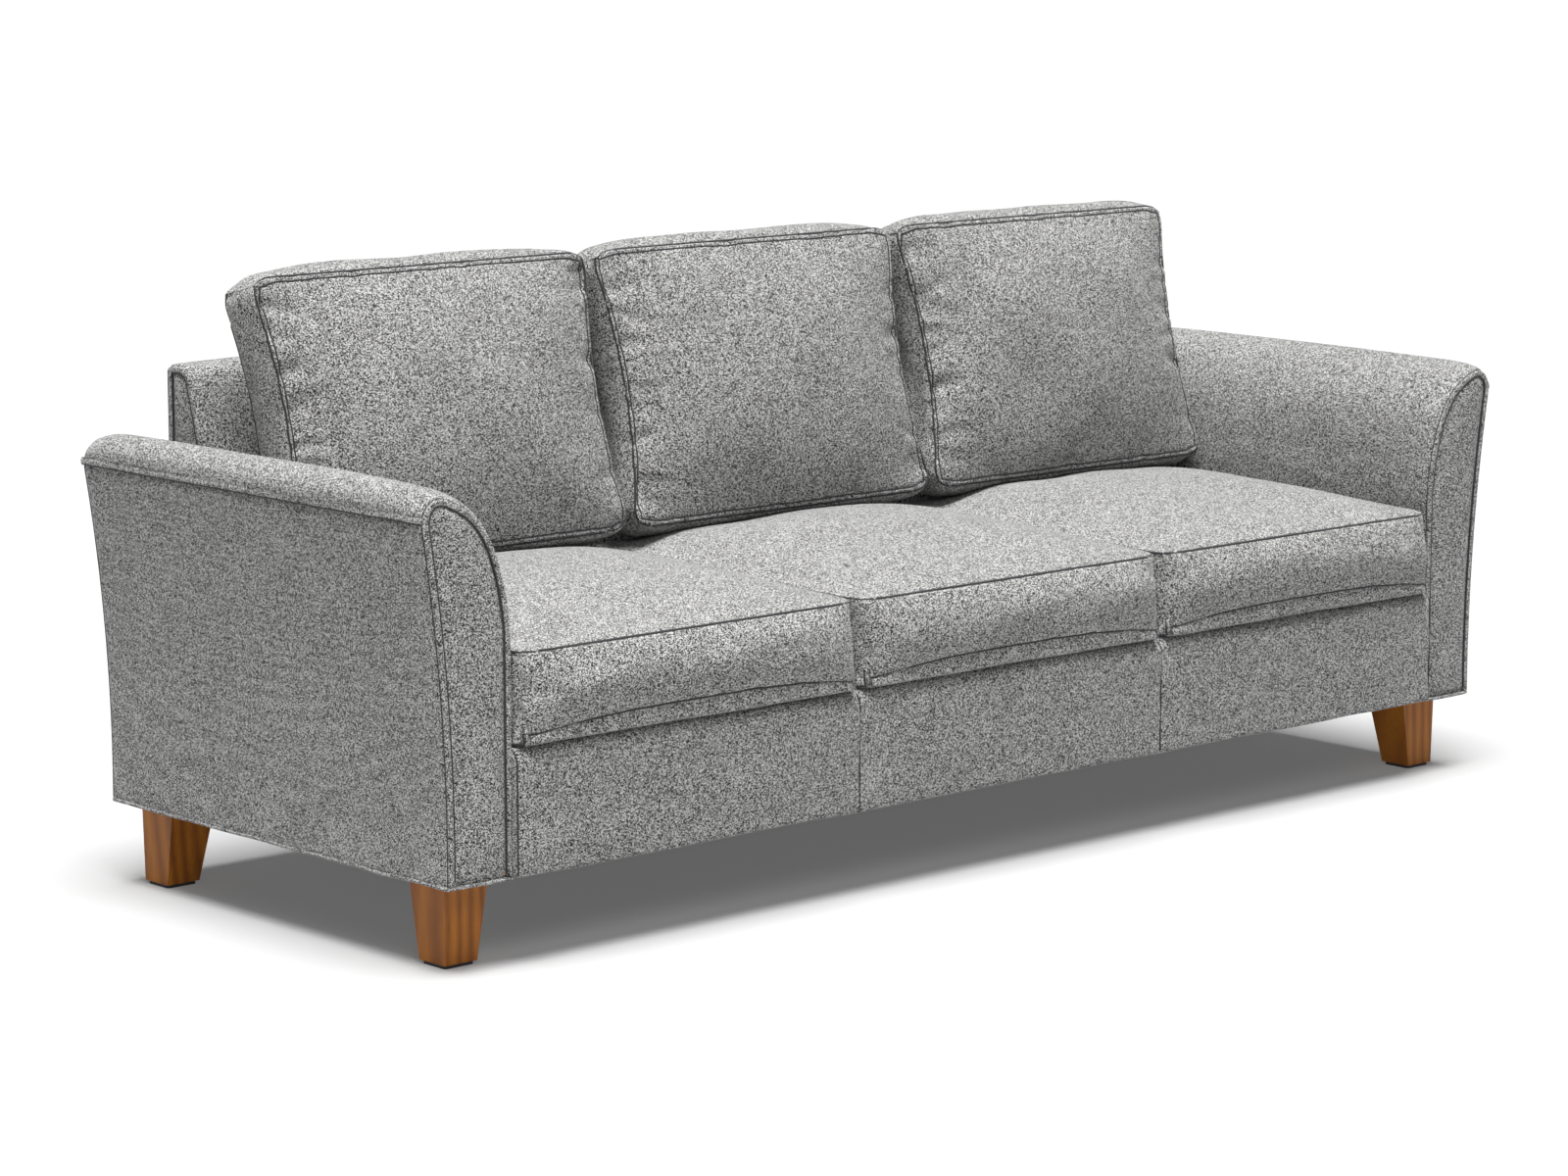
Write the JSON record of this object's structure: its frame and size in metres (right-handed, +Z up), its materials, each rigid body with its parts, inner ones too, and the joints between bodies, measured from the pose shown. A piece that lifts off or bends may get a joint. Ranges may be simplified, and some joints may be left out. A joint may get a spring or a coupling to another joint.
{
  "type": "sofa with wooden legs",
  "caption": "Upholstered sofa with flared arms, a low fixed back, loose boxed seat and back cushions, and square tapered wooden legs.",
  "frame": {"origin": "on the floor under the middle of the bounding box", "axes": "+X to the right of someone facing the sofa, -Y to the front, +Z up"},
  "size_m": [2.1524, 0.8003, 0.8789],
  "materials": {
    "fibreboard": "hard fibreboard",
    "melange_cloth": "woven light grey melange upholstery cloth",
    "cushion_filling": "foam core wrapped in fibre",
    "foam": "polyurethane foam and wadding",
    "frame_timber": "sawn softwood",
    "webbing": "elastic webbing",
    "lining": "black nonwoven lining",
    "birch_plywood": "birch plywood",
    "zinc_steel": "zinc plated",
    "walnut_legs": "warm brown oiled hardwood with fine grain",
    "glide_plastic": "black plastic",
    "spring_steel": "bright wire"
  },
  "bodies": {
    "frame": {"arm_outer_panels": "fibreboard", "arm_welts": "melange_cloth", "back_end_covers": "melange_cloth", "back_front_cover": "melange_cloth", "back_padding": "foam", "back_posts": "frame_timber", "back_rails": "frame_timber", "back_rear_cover": "melange_cloth", "back_webbing": "webbing", "cross_rails": "frame_timber", "deck_cover": "lining", "deck_pad": "foam", "dust_cover": "lining", "front_rail": "frame_timber", "left_arm_bottom_board": "birch_plywood", "left_arm_facing": "melange_cloth", "left_arm_front_board": "birch_plywood", "left_arm_inner_cover": "melange_cloth", "left_arm_outer_cover": "melange_cloth", "left_arm_padding": "foam", "left_arm_rear_board": "birch_plywood", "left_arm_side_rail": "frame_timber", "left_arm_top_rail": "frame_timber", "leg_bolts": "zinc_steel", "leg_front_left": "walnut_legs", "leg_front_right": "walnut_legs", "leg_glides": "glide_plastic", "leg_plates": "zinc_steel", "leg_rear_left": "walnut_legs", "leg_rear_right": "walnut_legs", "leg_screws": "zinc_steel", "rail_cover_left": "melange_cloth", "rail_cover_middle": "melange_cloth", "rail_cover_right": "melange_cloth", "rail_padding": "foam", "rear_rail": "frame_timber", "right_arm_bottom_board": "birch_plywood", "right_arm_facing": "melange_cloth", "right_arm_front_board": "birch_plywood", "right_arm_inner_cover": "melange_cloth", "right_arm_outer_cover": "melange_cloth", "right_arm_padding": "foam", "right_arm_rear_board": "birch_plywood", "right_arm_side_rail": "frame_timber", "right_arm_top_rail": "frame_timber", "seat_rail": "frame_timber", "seat_springs": "spring_steel", "spring_clips": "spring_steel"},
    "seat_cushion_left": {"seat_cushion_left_core": "cushion_filling", "seat_cushion_left_cover": "melange_cloth"},
    "seat_cushion_middle": {"seat_cushion_middle_core": "cushion_filling", "seat_cushion_middle_cover": "melange_cloth"},
    "seat_cushion_right": {"seat_cushion_right_core": "cushion_filling", "seat_cushion_right_cover": "melange_cloth"},
    "back_cushion_left": {"back_cushion_left_core": "cushion_filling", "back_cushion_left_cover": "melange_cloth"},
    "back_cushion_middle": {"back_cushion_middle_core": "cushion_filling", "back_cushion_middle_cover": "melange_cloth"},
    "back_cushion_right": {"back_cushion_right_core": "cushion_filling", "back_cushion_right_cover": "melange_cloth"}
  },
  "joints": [
    {"name": "seat_cushion_left_pull_out", "type": "slide", "parent": "frame", "child": "seat_cushion_left", "axis": [0, -0.9986, 0.0523], "range_m": [0, 0.64]},
    {"name": "seat_cushion_middle_pull_out", "type": "slide", "parent": "frame", "child": "seat_cushion_middle", "axis": [0, -0.9986, 0.0523], "range_m": [0, 0.64]},
    {"name": "seat_cushion_right_pull_out", "type": "slide", "parent": "frame", "child": "seat_cushion_right", "axis": [0, -0.9986, 0.0523], "range_m": [0, 0.64]},
    {"name": "back_cushion_left_lift_out", "type": "slide", "parent": "frame", "child": "back_cushion_left", "axis": [0, 0.2419, 0.9703], "range_m": [0, 0.47]},
    {"name": "back_cushion_middle_lift_out", "type": "slide", "parent": "frame", "child": "back_cushion_middle", "axis": [0, 0.2419, 0.9703], "range_m": [0, 0.47]},
    {"name": "back_cushion_right_lift_out", "type": "slide", "parent": "frame", "child": "back_cushion_right", "axis": [0, 0.2419, 0.9703], "range_m": [0, 0.47]}
  ]
}
